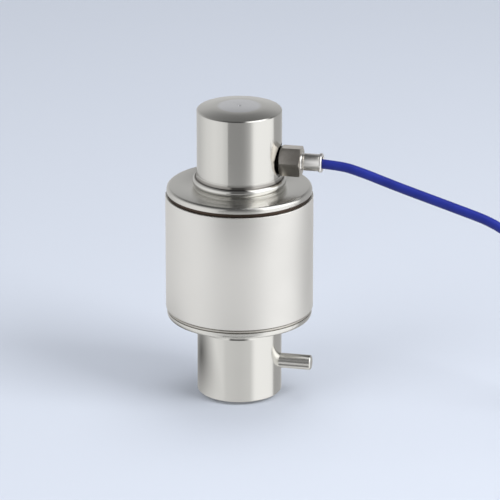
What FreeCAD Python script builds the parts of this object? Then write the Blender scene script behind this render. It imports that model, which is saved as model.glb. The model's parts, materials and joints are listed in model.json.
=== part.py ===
import FreeCAD, Part
import math
import os

import Sketcher
from FreeCAD import Matrix, Placement, Rotation, Vector

# Compression load cell: a turned column with rounded load faces in a welded round housing.
# The frame has its origin at the centre of the lower load face, with +Z up the column.
# The gland and the pin point along `lead_angle`, towards the viewer's right.

SIZES = [
    ("overall_height", 150.0, "lower load face to upper load face"),
    ("end_diameter", 42.0, "load ends"),
    ("land_diameter", 22.0, "flat middle of a load face"),
    ("dome_radius", 100.0, "rounding of a load face"),
    ("edge_break", 0.5, "broken edge of a load face"),
    ("mark_diameter", 1.8, "lathe centre in the upper face"),
    ("mark_depth", 0.8, "lathe centre in the upper face"),
    ("waist_diameter", 30.0, "gauged part of the column"),
    ("waist_fillet", 3.0, "waist to flange"),
    ("flange_step", 2.5, "how far the two flanges stand out beyond the load ends"),
    ("flange_thickness", 4.0, "the two flanges that carry the caps"),
    ("flat_depth", 1.8, "milled gauge flats, below the waist's surface"),
    ("flat_margin", 8.6, "milled gauge flats, from the flanges"),
    ("housing_height", 68.2, "shoulder to shoulder"),
    ("sleeve_diameter", 73.2, "housing sleeve"),
    ("sleeve_wall", 2.2, "housing sleeve"),
    ("sleeve_edge", 0.3, "broken edges of the sleeve"),
    ("cap_step", 0.6, "how far the caps' rims lie inside the sleeve's surface"),
    ("cap_rim_height", 3.0, "caps, at the rim"),
    ("cap_edge_radius", 1.8, "caps, rounded outer edge"),
    ("cap_web", 1.0, "thin web of a cap"),
    ("cap_hub_height", 3.5, "thick hub of a cap, on its flange"),
    ("cap_hub_step", 0.5, "how far a cap's hub stands out beyond its flange"),
    ("spigot_length", 8.0, "cap's spigot below its rim"),
    ("spigot_wall", 2.2, "cap's spigot"),
    ("seam_height", 1.8, "rings between caps and sleeve"),
    ("seam_recess", 1.1, "how far the rings lie below the sleeve"),
    ("neck_bead_step", 2.0, "how far the neck rings stand out beyond the load ends"),
    ("neck_bead_height", 4.4, "rounded neck rings, bead"),
    ("neck_bead_foot", 1.1, "bead's foot inside its widest place"),
    ("neck_bead_top", 0.8, "bead's top inside its widest place"),
    ("neck_bead_radius", 3.0, "rounded neck rings, bead"),
    ("neck_ring_height", 6.4, "rounded neck rings, with their fillet"),
    ("neck_lip", 0.3, "thin end of a neck ring"),
    ("slip_gap", 0.03, "radial gap of fitted and welded round seats"),
    ("lead_angle", -12.0, "direction of gland and pin, degrees from +X"),
    ("gland_gap", 0.42, "gland's hexagon above the neck ring"),
    ("spot_face_depth", 1.8, "gland seat below the load end's surface"),
    ("spot_face_diameter", 17.0, "gland seat"),
    ("hexagon_flats", 14.0, "gland hexagon across flats"),
    ("hexagon_length", 12.2, "gland hexagon"),
    ("hexagon_turn", -6.0, "turn of the hexagon about the gland axis, degrees"),
    ("hexagon_chamfer", 0.8, "bevelled end of the hexagon"),
    ("shank_diameter", 10.0, "threaded shank of the gland"),
    ("shank_length", 5.8, "threaded shank of the gland"),
    ("gland_bore_depth", 13.7, "gland's bore below its seat"),
    ("core_hole", 4.6, "hole for the cores through the gland"),
    ("counterbore_depth", 8.0, "gland's outer bore for the seal and the crimp sleeve"),
    ("seal_height", 3.0, "rubber seal in the gland"),
    ("crimp_diameter", 8.5, "crimp sleeve"),
    ("crimp_bore", 6.4, "crimp sleeve"),
    ("crimp_length", 10.4, "crimp sleeve, outside the hexagon"),
    ("crimp_neck", 0.3, "depth of the rounded neck beside the hexagon"),
    ("crimp_neck_length", 1.6, "rounded neck beside the hexagon"),
    ("crimp_rim", 0.45, "how far the end rim stands out"),
    ("crimp_rim_width", 1.3, "end rim"),
    ("o_ring_radius", 6.1, "face seal under the hexagon, middle of the ring"),
    ("o_ring_width", 1.2, "face seal under the hexagon"),
    ("channel_diameter", 4.5, "drilled channel for the cores"),
    ("channel_step", 3.4, "channel mouth from the waist's surface"),
    ("channel_depth", 9.7, "where the channel meets the gland's axis, below the gland's seat"),
    ("channel_overrun", 2.0, "how far below the flange the drill starts"),
    ("bush_length", 5.0, "channel's bush in the hole"),
    ("core_bundle", 3.0, "bundle of cores"),
    ("core_margin", 3.0, "where the cores come down on the board, from its edge"),
    ("pin_diameter", 7.5, "anti-rotation pin"),
    ("pin_reach", 15.6, "pin outside the load end"),
    ("pin_depth", 12.0, "pin inside the load end"),
    ("pin_chamfer", 0.6, "pin ends"),
    ("board_thickness", 1.6, "balance board"),
    ("board_margin", 4.9, "from the balance board to the sleeve"),
    ("board_slot_gap", 1.0, "board's slot beside the waist"),
    ("spacer_height", 3.0, "board spacers"),
    ("spacer_diameter", 4.0, "board spacers"),
    ("screw_diameter", 2.0, "board screws"),
    ("screw_gap", 0.1, "radial gap round a screw"),
    ("screw_depth", 3.0, "screw in the flange"),
    ("screw_head_diameter", 3.8, "board screws"),
    ("screw_head_height", 1.3, "board screws"),
    ("screw_margin", 2.2, "board screws, from the flange's edge"),
    ("resistor_margin", 4.1, "resistors, from the board's edge"),
    ("resistor_diameter", 3.2, "resistor spools"),
    ("resistor_length", 4.0, "resistor spools"),
    ("gauge_long", 9.0, "strain gauge"),
    ("gauge_short", 6.0, "strain gauge"),
    ("gauge_thickness", 0.25, "strain gauge"),
    ("axial_gauge_rise", 7.0, "axial gauges above the waist's middle"),
    ("cross_gauge_drop", 3.0, "cross gauges below the waist's middle"),
    ("terminal_drop", 10.5, "solder terminals below the waist's middle"),
    ("terminal_width", 9.0, "solder terminal strip"),
    ("terminal_length", 3.0, "solder terminal strip"),
    ("terminal_thickness", 0.6, "solder terminal strip"),
    ("wire_diameter", 0.8, "gauge wires"),
    ("wire_spread", 2.6, "gauge wires, from the middle of a flat"),
    ("wire_margin", 3.0, "where gauge wires come down on the board, from its slot"),
    ("cable_diameter", 4.8, "cable"),
    ("cable_reach", 203.5, "end of the cable's free run from the column's axis"),
    ("bush_gap", 0.1, "radial gap of rubber parts round the cable"),
    ("coil_mean_radius", 30.6, "middle of the coil's turns"),
    ("coil_pitch", 4.9, "from one turn to the next"),
    ("coil_columns", 6, "turns side by side"),
    ("coil_layers", 4, "turns above each other"),
    ("tie_thickness", 1.0, "coil ties"),
    ("tie_width", 6.0, "coil ties"),
    ("tie_gap", 0.4, "between a tie and the coil"),
    ("tail_end_radius", 28.0, "where the cable's last turn ends on the coil"),
    ("tail_sink", 0.3, "how far the last turn settles into the coil"),
    ("sleeve_end_diameter", 5.6, "shrink sleeve on the cable's end"),
    ("sleeve_end_length", 12.0, "shrink sleeve on the cable's end"),
    ("core_diameter", 1.2, "single core"),
    ("core_length", 13.0, "free cores"),
    ("core_spacing", 1.9, "free cores at their tips"),
    ("core_count", 6, "single cores"),
    ("ferrule_diameter", 1.6, "core ferrule"),
    ("ferrule_length", 5.0, "core ferrule"),
]

doc = FreeCAD.newDocument("compression_load_cell")
sheet = doc.addObject("Spreadsheet::Sheet", "Sizes")


class Size:
    """A length: its number, and the sheet formula that gives it."""

    def __init__(self, value, formula):
        self.value = value
        self.formula = formula

    def with_sign(self, other, sign, value):
        text = other.formula if isinstance(other, Size) else repr(other)
        return Size(value, f"({self.formula} {sign} {text})")

    def __add__(self, other):
        return self.with_sign(other, "+", self.value + number(other))

    def __sub__(self, other):
        return self.with_sign(other, "-", self.value - number(other))

    def __mul__(self, other):
        return self.with_sign(other, "*", self.value * number(other))

    def __truediv__(self, other):
        return self.with_sign(other, "/", self.value / number(other))

    def __neg__(self):
        return Size(-self.value, f"(-1 * {self.formula})")

    def root(self):
        return Size(math.sqrt(self.value), f"sqrt({self.formula})")

    def angle(self):
        """The angle in degrees whose tangent this is."""
        return Size(math.degrees(math.atan(self.value)), f"atan({self.formula})")


def number(value):
    """A plain number from a Size or a number."""
    return value.value if isinstance(value, Size) else float(value)


class Sizes:
    """The sheet's cells by name, each as a Size."""


for row, (name, value, note) in enumerate(SIZES, start=1):
    sheet.set(f"A{row}", note)
    sheet.set(f"B{row}", str(value))
    sheet.setAlias(f"B{row}", name)
    setattr(Sizes, name, Size(float(value), f"Sizes.{name}"))
doc.recompute()
S = Sizes


# Places that several pieces share
end_radius = S.end_diameter / 2
land_radius = S.land_diameter / 2
waist_radius = S.waist_diameter / 2
flange_radius = end_radius + S.flange_step
middle = S.overall_height / 2
upper_shoulder = middle + S.housing_height / 2
lower_shoulder = middle - S.housing_height / 2
upper_flange_top = upper_shoulder - S.cap_hub_height
upper_flange_bottom = upper_flange_top - S.flange_thickness
lower_flange_bottom = lower_shoulder + S.cap_hub_height
lower_flange_top = lower_flange_bottom + S.flange_thickness
flat_distance = waist_radius - S.flat_depth
spot_face_distance = end_radius - S.spot_face_depth
sleeve_radius = S.sleeve_diameter / 2
sleeve_bore = sleeve_radius - S.sleeve_wall
spigot_radius = sleeve_bore - S.slip_gap
board_radius = sleeve_bore - S.board_margin
board_bottom = lower_flange_top + S.spacer_height
board_top = board_bottom + S.board_thickness
edge_reach = end_radius - S.edge_break
dome_drop = ((S.dome_radius * S.dome_radius - land_radius * land_radius).root()
             - (S.dome_radius * S.dome_radius - edge_reach * edge_reach).root())
fit_hole = S.slip_gap * 2
screw_circle = flange_radius - S.screw_margin
PIN_SHARE = 0.513  # the pin's place between the lower load face and the neck ring
pin_height = (lower_shoulder - S.neck_ring_height) * PIN_SHARE

# The gland's hexagon stands just clear of the upper neck ring with its lowest corner.
hexagon_corner = S.hexagon_flats / Size(3.0, "3").root()
CORNER_FROM_BELOW = 30 + S.hexagon_turn.value
lowest_corner = hexagon_corner * round(math.cos(math.radians(CORNER_FROM_BELOW)), 5)
gland_height = upper_shoulder + S.neck_ring_height + S.gland_gap + lowest_corner
channel_top = spot_face_distance - S.channel_depth
channel_exit = waist_radius + S.channel_step


def bind(thing, path, size):
    """Binds a property to a formula of the sheet."""
    thing.setExpression(path, size.formula if isinstance(size, Size) else repr(size))


def new_body(label):
    """An empty body with its own name."""
    body = doc.addObject("PartDesign::Body", label)
    body.Label = label
    return body


def origin_feature(body, role):
    """One of the body's own planes or axes."""
    return next(item for item in body.Origin.OriginFeatures if item.Role == role)


def new_sketch(body, role, name, lift=None):
    """A sketch on one of the body's planes, lifted along the plane's normal."""
    sketch = body.newObject("Sketcher::SketchObject", name)
    sketch.AttachmentSupport = (origin_feature(body, role), [""])
    sketch.MapMode = "FlatFace"
    if lift is not None:
        bind(sketch, "AttachmentOffset.Base.z", lift)
    return sketch


def constrain(sketch, kind, where, size, name):
    """Adds a named dimension that follows a formula of the sheet."""
    index = sketch.addConstraint(Sketcher.Constraint(kind, *where, number(size)))
    sketch.renameConstraint(index, name)
    bind(sketch, f"Constraints.{name}", size)


def place_point(sketch, edge, end, across, up, name):
    """Fixes a point of an edge by its distances from the sketch's origin."""
    for kind, axis, size in (("DistanceX", -2, across), ("DistanceY", -1, up)):
        if isinstance(size, Size):
            constrain(sketch, kind, (-1, 1, edge, end), size, f"{name}_{kind[-1]}")
        else:
            sketch.addConstraint(Sketcher.Constraint("PointOnObject", edge, end, axis))


def arc_between(first, last, radius):
    """The shorter arc between two points that bulges to the right of the way walked, or to the left
    for a negative radius, and whether it runs from first to last."""
    chord = last - first
    half = chord.Length / 2
    side = Vector(chord.y, -chord.x, 0).normalize() * (-1 if radius > 0 else 1)
    centre = (first + last) / 2 + side * math.sqrt(radius * radius - half * half)
    along = radius > 0
    start, stop = (first, last) if along else (last, first)
    angles = [math.atan2(p.y - centre.y, p.x - centre.x) for p in (start, stop)]
    circle = Part.Circle(centre, Vector(0, 0, 1), abs(radius))
    return Part.ArcOfCircle(circle, *angles), along


def outline(sketch, corners):
    """Draws a closed outline. A corner is (across, up), or (across, up, radius) where an arc of that
    radius leaves it; a bare 0 lies on the axis."""
    points = [Vector(number(c[0]), number(c[1]), 0) for c in corners]
    ends = []
    for k, corner in enumerate(corners):
        first, last = points[k], points[(k + 1) % len(points)]
        along = True
        if len(corner) == 3:
            shape, along = arc_between(first, last, number(corner[2]))
        else:
            shape = Part.LineSegment(first, last)
        edge = sketch.addGeometry(shape, False)
        ends.append((edge, 1, 2) if along else (edge, 2, 1))
    for k, (edge, start, _) in enumerate(ends):
        before, _, stop = ends[k - 1]
        sketch.addConstraint(Sketcher.Constraint("Coincident", before, stop, edge, start))
        place_point(sketch, edge, start, corners[k][0], corners[k][1], f"corner{k}")
        if len(corners[k]) == 3:
            radius = corners[k][2]
            constrain(sketch, "Radius", (edge,), radius if number(radius) > 0 else -radius, f"arc{k}")


def circle(sketch, across, up, diameter, name="ring"):
    """Draws a circle."""
    shape = Part.Circle(Vector(number(across), number(up), 0), Vector(0, 0, 1), number(diameter) / 2)
    edge = sketch.addGeometry(shape, False)
    place_point(sketch, edge, 3, across, up, name)
    constrain(sketch, "Diameter", (edge,), diameter, f"{name}_diameter")


def turned(label, corners):
    """A body turned about its Z axis from an outline of radius and height."""
    body = new_body(label)
    sketch = new_sketch(body, "XZ_Plane", f"{label}_profile")
    outline(sketch, corners)
    turning = body.newObject("PartDesign::Revolution", f"{label}_turning")
    turning.Profile = sketch
    turning.ReferenceAxis = (sketch, ["V_Axis"])
    turning.Angle = 360
    return body


def pad(body, sketch, length, name, symmetric=False):
    """Raises a sketch to a solid."""
    feature = body.newObject("PartDesign::Pad", name)
    feature.Profile = sketch
    bind(feature, "Length", length)
    if symmetric:
        feature.SideType = "Symmetric"
    return feature


def pocket(body, sketch, length, name, reverse=False, symmetric=False):
    """Cuts a sketch into the solid, against the sketch's normal unless reversed."""
    feature = body.newObject("PartDesign::Pocket", name)
    feature.Profile = sketch
    bind(feature, "Length", length)
    feature.Reversed = reverse
    if symmetric:
        feature.SideType = "Symmetric"
    return feature


def around(body, feature, count, name):
    """Repeats a feature round the body's Z axis."""
    pattern = body.newObject("PartDesign::PolarPattern", name)
    pattern.Originals = [feature]
    pattern.Axis = (origin_feature(body, "Z_Axis"), [""])
    pattern.Angle = 360
    pattern.Occurrences = count
    body.Tip = pattern
    return pattern


def round_edges(body, base, edges, radius, name, kind="Fillet"):
    """Rounds or bevels the edges of a feature that a test picks."""
    doc.recompute()
    names = [f"Edge{k}" for k, edge in enumerate(base.Shape.Edges, start=1) if edges(edge)]
    feature = body.newObject(f"PartDesign::{kind}", name)
    feature.Base = (base, names)
    bind(feature, "Radius" if kind == "Fillet" else "Size", radius)
    body.Tip = feature
    return feature


def ring_edge(radius, height):
    """A test for a full circle about the Z axis of that radius and height."""
    def picks(edge):
        curve = edge.Curve
        return (isinstance(curve, Part.Circle) and abs(curve.Radius - number(radius)) < 1e-4
                and abs(curve.Center.z - number(height)) < 1e-4 and edge.isClosed())
    return picks


def stand(thing, height):
    """Stands a piece at a height on the column's axis, with its +X side on the lead's side."""
    bind(thing, "Placement.Base.z", height)
    bind(thing, "Placement.Rotation.Angle", S.lead_angle)
    thing.Placement.Rotation.Axis = Vector(0, 0, 1)


# Load column: one bar, turned all over
# The outline goes up the outside from the lower face's middle.
column = turned("load_column", [
    (0, 0),
    (land_radius, 0, S.dome_radius),
    (edge_reach, dome_drop),
    (end_radius, dome_drop + S.edge_break),
    (end_radius, lower_flange_bottom),
    (flange_radius, lower_flange_bottom),
    (flange_radius, lower_flange_top),
    (waist_radius, lower_flange_top),
    (waist_radius, upper_flange_bottom),
    (flange_radius, upper_flange_bottom),
    (flange_radius, upper_flange_top),
    (end_radius, upper_flange_top),
    (end_radius, S.overall_height - dome_drop - S.edge_break),
    (edge_reach, S.overall_height - dome_drop, S.dome_radius),
    (land_radius, S.overall_height),
    (S.mark_diameter / 2, S.overall_height),
    (0, S.overall_height - S.mark_depth),
])
lower_root = ring_edge(waist_radius, lower_flange_top)
upper_root = ring_edge(waist_radius, upper_flange_bottom)
round_edges(column, column.Tip, lambda edge: lower_root(edge) or upper_root(edge),
            S.waist_fillet, "waist_fillets")

flats = new_sketch(column, "XZ_Plane", "gauge_flat_outline")
flat_outer = waist_radius + S.edge_break
flat_bottom = lower_flange_top + S.flat_margin
flat_top = upper_flange_bottom - S.flat_margin
outline(flats, [
    (flat_distance, flat_bottom),
    (flat_outer, flat_bottom),
    (flat_outer, flat_top),
    (flat_distance, flat_top),
])
flat_cut = pocket(column, flats, S.waist_diameter, "gauge_flat", symmetric=True)
around(column, flat_cut, 4, "gauge_flats")

spot_face = new_sketch(column, "YZ_Plane", "spot_face_outline", flange_radius)
circle(spot_face, 0, gland_height, S.spot_face_diameter)
pocket(column, spot_face, flange_radius - spot_face_distance, "spot_face")

gland_bore = new_sketch(column, "YZ_Plane", "gland_bore_outline", flange_radius)
circle(gland_bore, 0, gland_height, S.shank_diameter + fit_hole)
pocket(column, gland_bore, flange_radius - spot_face_distance + S.gland_bore_depth, "gland_bore")

pin_hole = new_sketch(column, "YZ_Plane", "pin_hole_outline", flange_radius)
circle(pin_hole, 0, pin_height, S.pin_diameter + fit_hole)
pocket(column, pin_hole, S.flange_step + S.pin_depth, "pin_hole")

# The channel is drilled from the gauge space up to the gland's bore, at a slant.
channel_rise = gland_height - upper_flange_bottom
channel_slope = (channel_exit - channel_top) / channel_rise
channel_tilt = channel_slope.angle()
channel = new_sketch(column, "XY_Plane", "channel_outline",
                     upper_flange_bottom - S.channel_overrun)
bind(channel, "AttachmentOffset.Base.x", channel_exit + channel_slope * S.channel_overrun)
channel.AttachmentOffset.Rotation.Axis = Vector(0, 1, 0)
bind(channel, "AttachmentOffset.Rotation.Angle", -channel_tilt)
circle(channel, 0, 0, S.channel_diameter)
channel_cut = pocket(column, channel, channel_rise, "channel", reverse=True)

screw_hole = new_sketch(column, "XY_Plane", "screw_hole_outline", lower_flange_top)
circle(screw_hole, screw_circle, 0, S.screw_diameter + S.screw_gap * 2)
screw_cut = pocket(column, screw_hole, S.screw_depth + S.screw_gap, "screw_hole")
around(column, screw_cut, 3, "screw_holes")
stand(column, 0)

# Housing sleeve: a length of tube with broken edges
sleeve_height = S.housing_height - (S.cap_rim_height + S.seam_height) * 2
sleeve_inner_edge = sleeve_bore + S.sleeve_edge
sleeve_outer_edge = sleeve_radius - S.sleeve_edge
sleeve = turned("housing_sleeve", [
    (sleeve_bore, S.sleeve_edge),
    (sleeve_inner_edge, 0),
    (sleeve_outer_edge, 0),
    (sleeve_radius, S.sleeve_edge),
    (sleeve_radius, sleeve_height - S.sleeve_edge),
    (sleeve_outer_edge, sleeve_height),
    (sleeve_inner_edge, sleeve_height),
    (sleeve_bore, sleeve_height - S.sleeve_edge),
])
stand(sleeve, middle - sleeve_height / 2)


def place_end(thing, upper):
    """Seats an end piece on its shoulder plane, upside down at the lower end."""
    bind(thing, "Placement.Base.z", upper_shoulder if upper else lower_shoulder)
    thing.Placement.Rotation = Rotation() if upper else Rotation(Vector(1, 0, 0), 180)


def cap(label, upper):
    """Cap: rim with a spigot in the sleeve, thin web, and a hub that sits on the column's flange."""
    hub_bore = end_radius + S.slip_gap
    spigot_bore = spigot_radius - S.spigot_wall
    outer = sleeve_radius - S.cap_step
    hub = flange_radius + S.cap_hub_step
    body = turned(label, [
        (hub_bore, 0),
        (hub_bore, -S.cap_hub_height),
        (hub, -S.cap_hub_height),
        (hub, -S.cap_web),
        (spigot_bore, -S.cap_web),
        (spigot_bore, -(S.cap_rim_height + S.spigot_length)),
        (spigot_radius, -(S.cap_rim_height + S.spigot_length)),
        (spigot_radius, -S.cap_rim_height),
        (outer, -S.cap_rim_height),
        (outer, 0),
    ])
    round_edges(body, body.Tip, ring_edge(outer, 0), S.cap_edge_radius, f"{label}_edge")
    place_end(body, upper)


def neck_ring(label, upper):
    """Neck ring: a rounded bead round the neck that runs out along it in a small fillet."""
    bore = end_radius + S.slip_gap
    lip = bore + S.neck_lip
    bead = end_radius + S.neck_bead_step
    bead_top = bead - S.neck_bead_top
    fillet_rise = S.neck_ring_height - S.neck_bead_height
    fillet_run = bead_top - lip
    fillet = (fillet_rise * fillet_rise + fillet_run * fillet_run) / (fillet_run * 2)
    body = turned(label, [
        (bore, 0),
        (bead - S.neck_bead_foot, 0, S.neck_bead_radius),
        (bead_top, S.neck_bead_height, -fillet),
        (lip, S.neck_ring_height),
        (bore, S.neck_ring_height),
    ])
    place_end(body, upper)


def seam_ring(label, upper):
    """Ring in the groove between a cap's rim and the sleeve."""
    outer = sleeve_radius - S.seam_recess
    body = turned(label, [
        (sleeve_bore, -S.cap_rim_height),
        (sleeve_bore, -(S.cap_rim_height + S.seam_height)),
        (outer, -(S.cap_rim_height + S.seam_height)),
        (outer, -S.cap_rim_height),
    ])
    place_end(body, upper)


for end, upper in (("upper", True), ("lower", False)):
    cap(f"{end}_cap", upper)
    neck_ring(f"{end}_neck_ring", upper)
    seam_ring(f"{end}_seam_ring", upper)


lead = math.radians(number(S.lead_angle))
lead_way = Vector(math.cos(lead), math.sin(lead), 0)


def point_out(thing, distance, height, turn=0.0):
    """Lays a piece along the lead's direction: its own +Z points away from the column."""
    lay = Rotation(Vector(0, 0, 1), number(S.lead_angle)) * Rotation(Vector(0, 1, 0), 90)
    thing.Placement = Placement(lead_way * number(distance) + Vector(0, 0, number(height)),
                                lay * Rotation(Vector(0, 0, 1), turn))


# Gland body: a nipple from hexagon bar, with a shank below and a counterbore above
shank_bore = S.core_hole / 2
counterbore = S.crimp_diameter / 2 + S.slip_gap
counterbore_floor = S.hexagon_length - S.counterbore_depth
groove_inner = S.o_ring_radius - S.o_ring_width / 2
groove_outer = S.o_ring_radius + S.o_ring_width / 2
gland = new_body("gland_body")
bar = new_sketch(gland, "XY_Plane", "hexagon_outline")
half_corner = hexagon_corner / 2
half_flats = S.hexagon_flats / 2
outline(bar, [
    (hexagon_corner, 0),
    (half_corner, half_flats),
    (-half_corner, half_flats),
    (-hexagon_corner, 0),
    (-half_corner, -half_flats),
    (half_corner, -half_flats),
])
pad(gland, bar, S.hexagon_length, "hexagon")
bevel = new_sketch(gland, "XZ_Plane", "hexagon_bevel_outline")
bevel_start = half_flats - S.hexagon_chamfer / 2
bevel_reach = hexagon_corner + S.hexagon_chamfer
bevel_drop = (bevel_reach - bevel_start) * 0.58
outline(bevel, [
    (bevel_start, S.hexagon_length),
    (bevel_reach, S.hexagon_length - bevel_drop),
    (bevel_reach, S.hexagon_length + S.hexagon_chamfer),
    (bevel_start, S.hexagon_length + S.hexagon_chamfer),
])
bevel_cut = gland.newObject("PartDesign::Groove", "hexagon_bevel")
bevel_cut.Profile = bevel
bevel_cut.ReferenceAxis = (bevel, ["V_Axis"])
bevel_cut.Angle = 360
shank = new_sketch(gland, "XY_Plane", "shank_outline")
circle(shank, 0, 0, S.shank_diameter)
shank_pad = pad(gland, shank, S.shank_length, "shank")
shank_pad.Reversed = True
bores = new_sketch(gland, "XZ_Plane", "bore_outline")
outline(bores, [
    (0, -(S.shank_length + S.edge_break)),
    (shank_bore, -(S.shank_length + S.edge_break)),
    (shank_bore, counterbore_floor),
    (counterbore, counterbore_floor),
    (counterbore, S.hexagon_length + S.edge_break),
    (0, S.hexagon_length + S.edge_break),
])
bore_cut = gland.newObject("PartDesign::Groove", "bores")
bore_cut.Profile = bores
bore_cut.ReferenceAxis = (bores, ["V_Axis"])
bore_cut.Angle = 360
seal_groove = new_sketch(gland, "XZ_Plane", "seal_groove_outline")
outline(seal_groove, [
    (groove_inner, -S.edge_break),
    (groove_outer, -S.edge_break),
    (groove_outer, S.o_ring_width - S.slip_gap),
    (groove_inner, S.o_ring_width - S.slip_gap),
])
groove_cut = gland.newObject("PartDesign::Groove", "seal_groove")
groove_cut.Profile = seal_groove
groove_cut.ReferenceAxis = (seal_groove, ["V_Axis"])
groove_cut.Angle = 360
point_out(gland, spot_face_distance, gland_height, 90 + number(S.hexagon_turn))

# Face seal under the hexagon, pressed flat in its groove
ring_inner = groove_inner + S.slip_gap
ring_outer = groove_outer - S.slip_gap
ring_round = S.o_ring_width / 4
o_ring = turned("gland_o_ring", [
    (ring_inner, ring_round),
    (ring_inner + ring_round, 0),
    (ring_outer - ring_round, 0),
    (ring_outer, ring_round),
    (ring_outer, S.o_ring_width - ring_round),
    (ring_outer - ring_round, S.o_ring_width - S.slip_gap),
    (ring_inner + ring_round, S.o_ring_width - S.slip_gap),
    (ring_inner, S.o_ring_width - ring_round),
])
point_out(o_ring, spot_face_distance, gland_height)

# Rubber seal round the cable, at the bottom of the counterbore
cable_hole = S.cable_diameter / 2 + S.bush_gap
seal_outer = counterbore - S.bush_gap
cable_seal = turned("cable_seal", [
    (cable_hole, 0),
    (seal_outer, 0),
    (seal_outer, S.seal_height),
    (cable_hole, S.seal_height),
])
gland_seat = spot_face_distance + counterbore_floor
point_out(cable_seal, gland_seat, gland_height)

# Crimp sleeve: a tube with a rounded neck beside the hexagon and a rim at its mouth
crimp_radius = S.crimp_diameter / 2
neck_start = S.counterbore_depth - S.seal_height
crimp_top = neck_start + S.crimp_length
crimp_inner = S.crimp_bore / 2
neck_half = S.crimp_neck_length / 2
neck_radius = (neck_half * neck_half + S.crimp_neck * S.crimp_neck) / (S.crimp_neck * 2)
rim_radius = crimp_radius + S.crimp_rim
crimp = turned("crimp_sleeve", [
    (crimp_inner, 0),
    (crimp_radius, 0),
    (crimp_radius, neck_start, -neck_radius),
    (crimp_radius, neck_start + S.crimp_neck_length),
    (crimp_radius, crimp_top - S.crimp_rim_width - S.crimp_rim),
    (rim_radius, crimp_top - S.crimp_rim_width),
    (rim_radius, crimp_top - S.crimp_rim / 2),
    (rim_radius - S.crimp_rim / 2, crimp_top),
    (crimp_inner, crimp_top),
])
crimp_seat = gland_seat + S.seal_height
point_out(crimp, crimp_seat, gland_height)

# Rubber bush that fills the crimp sleeve round the cable
bush_top = crimp_top - S.crimp_rim_width
bush = turned("cable_bush", [
    (cable_hole, 0),
    (crimp_inner - S.slip_gap, 0),
    (crimp_inner - S.slip_gap, bush_top),
    (cable_hole, bush_top),
])
point_out(bush, crimp_seat, gland_height)
gland_mouth = crimp_seat + crimp_top

# Anti-rotation pin, pressed into the lower load end
pin_radius = S.pin_diameter / 2
pin_length = S.pin_reach + S.pin_depth
pin_end_radius = pin_radius - S.pin_chamfer
pin = turned("anti_rotation_pin", [
    (0, 0),
    (pin_end_radius, 0),
    (pin_radius, S.pin_chamfer),
    (pin_radius, pin_length - S.pin_chamfer),
    (pin_end_radius, pin_length),
    (0, pin_length),
])
point_out(pin, end_radius - S.pin_depth, pin_height)


def on_flats(label, width, height, thickness, level):
    """Four like plates, one on each gauge flat."""
    body = new_body(label)
    body.AllowCompound = True
    sketch = new_sketch(body, "YZ_Plane", f"{label}_outline", flat_distance)
    outline(sketch, [
        (-width / 2, level - height / 2),
        (width / 2, level - height / 2),
        (width / 2, level + height / 2),
        (-width / 2, level + height / 2),
    ])
    around(body, pad(body, sketch, thickness, f"{label}_plate"), 4, f"{label}_set")
    stand(body, 0)


terminal_level = middle - S.terminal_drop
on_flats("axial_gauges", S.gauge_short, S.gauge_long, S.gauge_thickness,
         middle + S.axial_gauge_rise)
on_flats("cross_gauges", S.gauge_long, S.gauge_short, S.gauge_thickness,
         middle - S.cross_gauge_drop)
on_flats("solder_terminals", S.terminal_width, S.terminal_length, S.terminal_thickness,
         terminal_level)

# Balance board: a horseshoe that slides over the waist from the side
board = new_body("balance_board")
board_outline = new_sketch(board, "XY_Plane", "board_outline")
slot = waist_radius + S.board_slot_gap
circle(board_outline, 0, 0, board_radius * 2)
pad(board, board_outline, S.board_thickness, "board_plate")
slot_outline = new_sketch(board, "XY_Plane", "slot_outline")
outline(slot_outline, [
    (0, -slot, slot),
    (slot, 0, slot),
    (0, slot),
    (-board_radius, slot),
    (-board_radius, -slot),
])
pocket(board, slot_outline, S.board_thickness, "slot", reverse=True)
board_hole = new_sketch(board, "XY_Plane", "board_hole_outline")
circle(board_hole, screw_circle, 0, S.screw_diameter + S.screw_gap * 2)
board_hole_cut = pocket(board, board_hole, S.board_thickness, "board_hole", reverse=True)
around(board, board_hole_cut, 3, "board_holes")
stand(board, board_bottom)


def three_around(label, corners):
    """Three like turned pieces on the screw circle."""
    body = new_body(label)
    body.AllowCompound = True
    sketch = new_sketch(body, "XZ_Plane", f"{label}_profile")
    bind(sketch, "AttachmentOffset.Base.x", screw_circle)
    outline(sketch, corners)
    turning = body.newObject("PartDesign::Revolution", f"{label}_turning")
    turning.Profile = sketch
    turning.ReferenceAxis = (sketch, ["V_Axis"])
    turning.Angle = 360
    around(body, turning, 3, f"{label}_set")
    return body


screw_radius = S.screw_diameter / 2
spacer_bore = screw_radius + S.screw_gap
spacers = three_around("board_spacers", [
    (spacer_bore, 0),
    (S.spacer_diameter / 2, 0),
    (S.spacer_diameter / 2, S.spacer_height),
    (spacer_bore, S.spacer_height),
])
stand(spacers, lower_flange_top)
screw_grip = S.spacer_height + S.board_thickness + S.screw_depth
screw_head = S.screw_head_diameter / 2
driver_radius = screw_radius * 0.6
screws = three_around("board_screws", [
    (0, -screw_grip),
    (screw_radius, -screw_grip),
    (screw_radius, 0),
    (screw_head, 0),
    (screw_head, S.screw_head_height),
    (driver_radius, S.screw_head_height),
    (driver_radius, S.screw_head_height / 2),
    (0, S.screw_head_height / 2),
])
stand(screws, board_top)


def grouped(label, shapes):
    """A node of several like solids."""
    group = doc.addObject("Part::Feature", label)
    group.Label = label
    group.Shape = Part.makeCompound(shapes)
    return group


def turned_about(shape, degrees):
    """A copy of a shape turned about the column's axis."""
    copy = shape.copy()
    copy.rotate(Vector(0, 0, 0), Vector(0, 0, 1), degrees)
    return copy


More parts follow.
